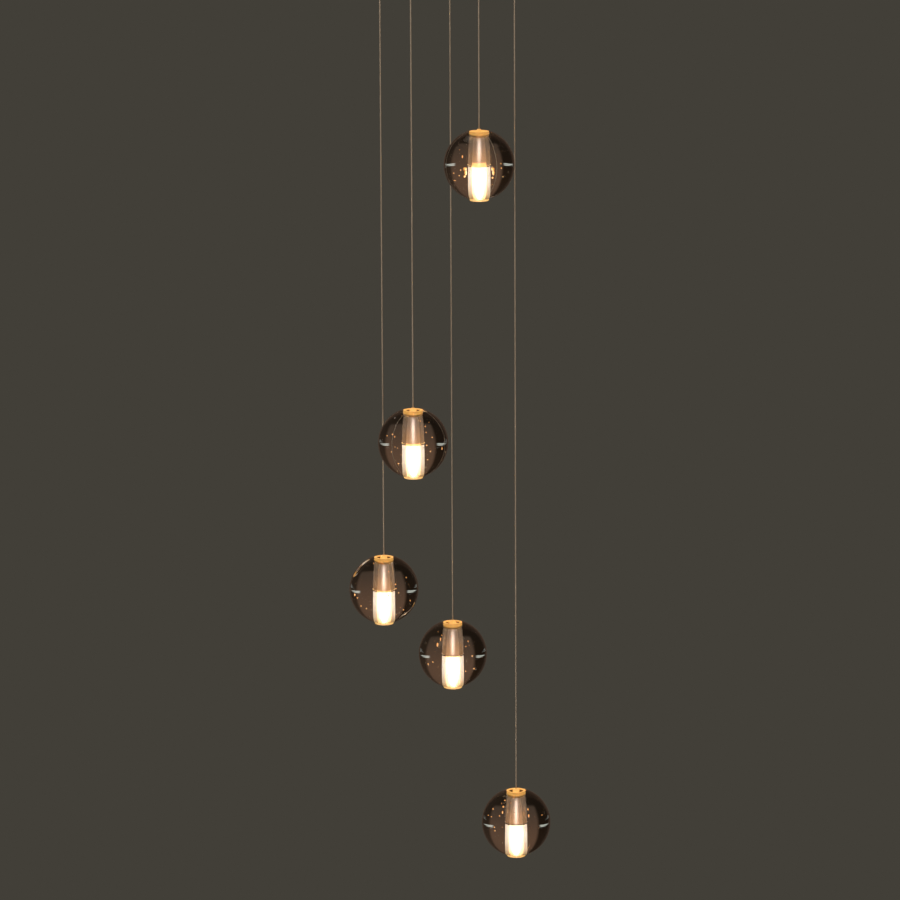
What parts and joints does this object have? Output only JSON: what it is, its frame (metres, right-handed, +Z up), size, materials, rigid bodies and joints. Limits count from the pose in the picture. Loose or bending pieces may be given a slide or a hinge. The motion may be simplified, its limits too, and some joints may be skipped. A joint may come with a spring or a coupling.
{
  "type": "cluster pendant",
  "caption": "Cluster pendant: clear cast glass balls with a lit frosted core, hung at different heights on thin cords from a round ceiling canopy.",
  "frame": {"origin": "centre of the ceiling plate's upper face, where the canopy meets the ceiling", "axes": "+Z up into the ceiling, so the lamp hangs below the origin; +Y away from the pictured side, +X to its right"},
  "size_m": [0.326, 0.3116, 1.496],
  "materials": {
    "plate_steel": "zinc plated, dull",
    "canopy_enamel": "satin powder coat",
    "screw_steel": "turned, bright",
    "grip_nickel": "satin nickel",
    "gear_plastic": "moulded",
    "block_plastic": "moulded",
    "terminal_brass": "turned",
    "lead_plastic": "extruded",
    "cord_braid": "tinned copper braid under a clear jacket",
    "bush_rubber": "soft moulded",
    "cap_polycarbonate": "frosted, translucent",
    "carrier_aluminium": "satin spun",
    "holder_ceramic": "unglazed",
    "lamp_glass": "lit capsule",
    "ball_glass": "cast clear glass with seed bubbles, bore frosted"
  },
  "bodies": {
    "canopy": {"ceiling_plate": "plate_steel", "canopy_cover": "canopy_enamel", "cover_screws": "screw_steel", "cord_grips": "grip_nickel", "grip_nuts": "screw_steel", "grip_set_screws": "screw_steel", "transformer": "gear_plastic", "transformer_screws": "screw_steel", "mains_terminal_block": "block_plastic", "lamp_terminal_block": "block_plastic", "earth_screw": "terminal_brass", "mains_leads": "lead_plastic", "lamp_leads": "lead_plastic", "cord_tails": "cord_braid"},
    "bush_1": {"strain_bush_1": "bush_rubber"},
    "hung_cord_1": {"cord_1": "cord_braid", "ferrule_1": "terminal_brass"},
    "ball_1": {"cap_1": "cap_polycarbonate", "carrier_1": "carrier_aluminium", "lamp_holder_1": "holder_ceramic", "upper_glass_1": "ball_glass", "lower_glass_1": "ball_glass"},
    "capsule_1": {"lamp_1": "lamp_glass"},
    "bush_2": {"strain_bush_2": "bush_rubber"},
    "hung_cord_2": {"cord_2": "cord_braid", "ferrule_2": "terminal_brass"},
    "ball_2": {"cap_2": "cap_polycarbonate", "carrier_2": "carrier_aluminium", "lamp_holder_2": "holder_ceramic", "upper_glass_2": "ball_glass", "lower_glass_2": "ball_glass"},
    "capsule_2": {"lamp_2": "lamp_glass"},
    "bush_3": {"strain_bush_3": "bush_rubber"},
    "hung_cord_3": {"cord_3": "cord_braid", "ferrule_3": "terminal_brass"},
    "ball_3": {"cap_3": "cap_polycarbonate", "carrier_3": "carrier_aluminium", "lamp_holder_3": "holder_ceramic", "upper_glass_3": "ball_glass", "lower_glass_3": "ball_glass"},
    "capsule_3": {"lamp_3": "lamp_glass"},
    "bush_4": {"strain_bush_4": "bush_rubber"},
    "hung_cord_4": {"cord_4": "cord_braid", "ferrule_4": "terminal_brass"},
    "ball_4": {"cap_4": "cap_polycarbonate", "carrier_4": "carrier_aluminium", "lamp_holder_4": "holder_ceramic", "upper_glass_4": "ball_glass", "lower_glass_4": "ball_glass"},
    "capsule_4": {"lamp_4": "lamp_glass"},
    "bush_5": {"strain_bush_5": "bush_rubber"},
    "hung_cord_5": {"cord_5": "cord_braid", "ferrule_5": "terminal_brass"},
    "ball_5": {"cap_5": "cap_polycarbonate", "carrier_5": "carrier_aluminium", "lamp_holder_5": "holder_ceramic", "upper_glass_5": "ball_glass", "lower_glass_5": "ball_glass"},
    "capsule_5": {"lamp_5": "lamp_glass"}
  },
  "joints": [
    {"name": "swing_1", "type": "hinge", "parent": "canopy", "child": "bush_1", "pos_m": [0.0535, -0.09266, -0.0595], "axis": [-0.866, -0.5, 0], "range_deg": [-3, 12]},
    {"name": "sway_1", "type": "hinge", "parent": "bush_1", "child": "hung_cord_1", "pos_m": [0.0535, -0.09266, -0.0595], "axis": [0.5, -0.866, 0], "range_deg": [-3, 3]},
    {"name": "turn_1", "type": "hinge", "parent": "hung_cord_1", "child": "ball_1", "pos_m": [0.0535, -0.09266, -0.34], "axis": [0, 0, 1], "range_deg": [-180, 180]},
    {"name": "lamp_pull_1", "type": "slide", "parent": "ball_1", "child": "capsule_1", "axis": [0, 0, -1], "range_m": [0, 0.0679]},
    {"name": "swing_2", "type": "hinge", "parent": "canopy", "child": "bush_2", "pos_m": [-0.0535, -0.09266, -0.0595], "axis": [-0.866, 0.5, 0], "range_deg": [-3, 12]},
    {"name": "sway_2", "type": "hinge", "parent": "bush_2", "child": "hung_cord_2", "pos_m": [-0.0535, -0.09266, -0.0595], "axis": [-0.5, -0.866, 0], "range_deg": [-3, 3]},
    {"name": "turn_2", "type": "hinge", "parent": "hung_cord_2", "child": "ball_2", "pos_m": [-0.0535, -0.09266, -0.788], "axis": [0, 0, 1], "range_deg": [-180, 180]},
    {"name": "lamp_pull_2", "type": "slide", "parent": "ball_2", "child": "capsule_2", "axis": [0, 0, -1], "range_m": [0, 0.0679]},
    {"name": "swing_3", "type": "hinge", "parent": "canopy", "child": "bush_3", "pos_m": [-0.107, 0, -0.0595], "axis": [0, 1, 0], "range_deg": [-3, 12]},
    {"name": "sway_3", "type": "hinge", "parent": "bush_3", "child": "hung_cord_3", "pos_m": [-0.107, 0, -0.0595], "axis": [-1, 0, 0], "range_deg": [-3, 3]},
    {"name": "turn_3", "type": "hinge", "parent": "hung_cord_3", "child": "ball_3", "pos_m": [-0.107, 0, -1.049], "axis": [0, 0, 1], "range_deg": [-180, 180]},
    {"name": "lamp_pull_3", "type": "slide", "parent": "ball_3", "child": "capsule_3", "axis": [0, 0, -1], "range_m": [0, 0.0679]},
    {"name": "swing_4", "type": "hinge", "parent": "canopy", "child": "bush_4", "pos_m": [0, 0.107, -0.0595], "axis": [1, 0, 0], "range_deg": [-3, 12]},
    {"name": "sway_4", "type": "hinge", "parent": "bush_4", "child": "hung_cord_4", "pos_m": [0, 0.107, -0.0595], "axis": [0, 1, 0], "range_deg": [-3, 3]},
    {"name": "turn_4", "type": "hinge", "parent": "hung_cord_4", "child": "ball_4", "pos_m": [0, 0.107, -1.182], "axis": [0, 0, 1], "range_deg": [-180, 180]},
    {"name": "lamp_pull_4", "type": "slide", "parent": "ball_4", "child": "capsule_4", "axis": [0, 0, -1], "range_m": [0, 0.0679]},
    {"name": "swing_5", "type": "hinge", "parent": "canopy", "child": "bush_5", "pos_m": [0.107, 0, -0.0595], "axis": [0, -1, 0], "range_deg": [-3, 12]},
    {"name": "sway_5", "type": "hinge", "parent": "bush_5", "child": "hung_cord_5", "pos_m": [0.107, 0, -0.0595], "axis": [1, 0, 0], "range_deg": [-3, 3]},
    {"name": "turn_5", "type": "hinge", "parent": "hung_cord_5", "child": "ball_5", "pos_m": [0.107, 0, -1.439], "axis": [0, 0, 1], "range_deg": [-180, 180]},
    {"name": "lamp_pull_5", "type": "slide", "parent": "ball_5", "child": "capsule_5", "axis": [0, 0, -1], "range_m": [0, 0.0679]}
  ]
}
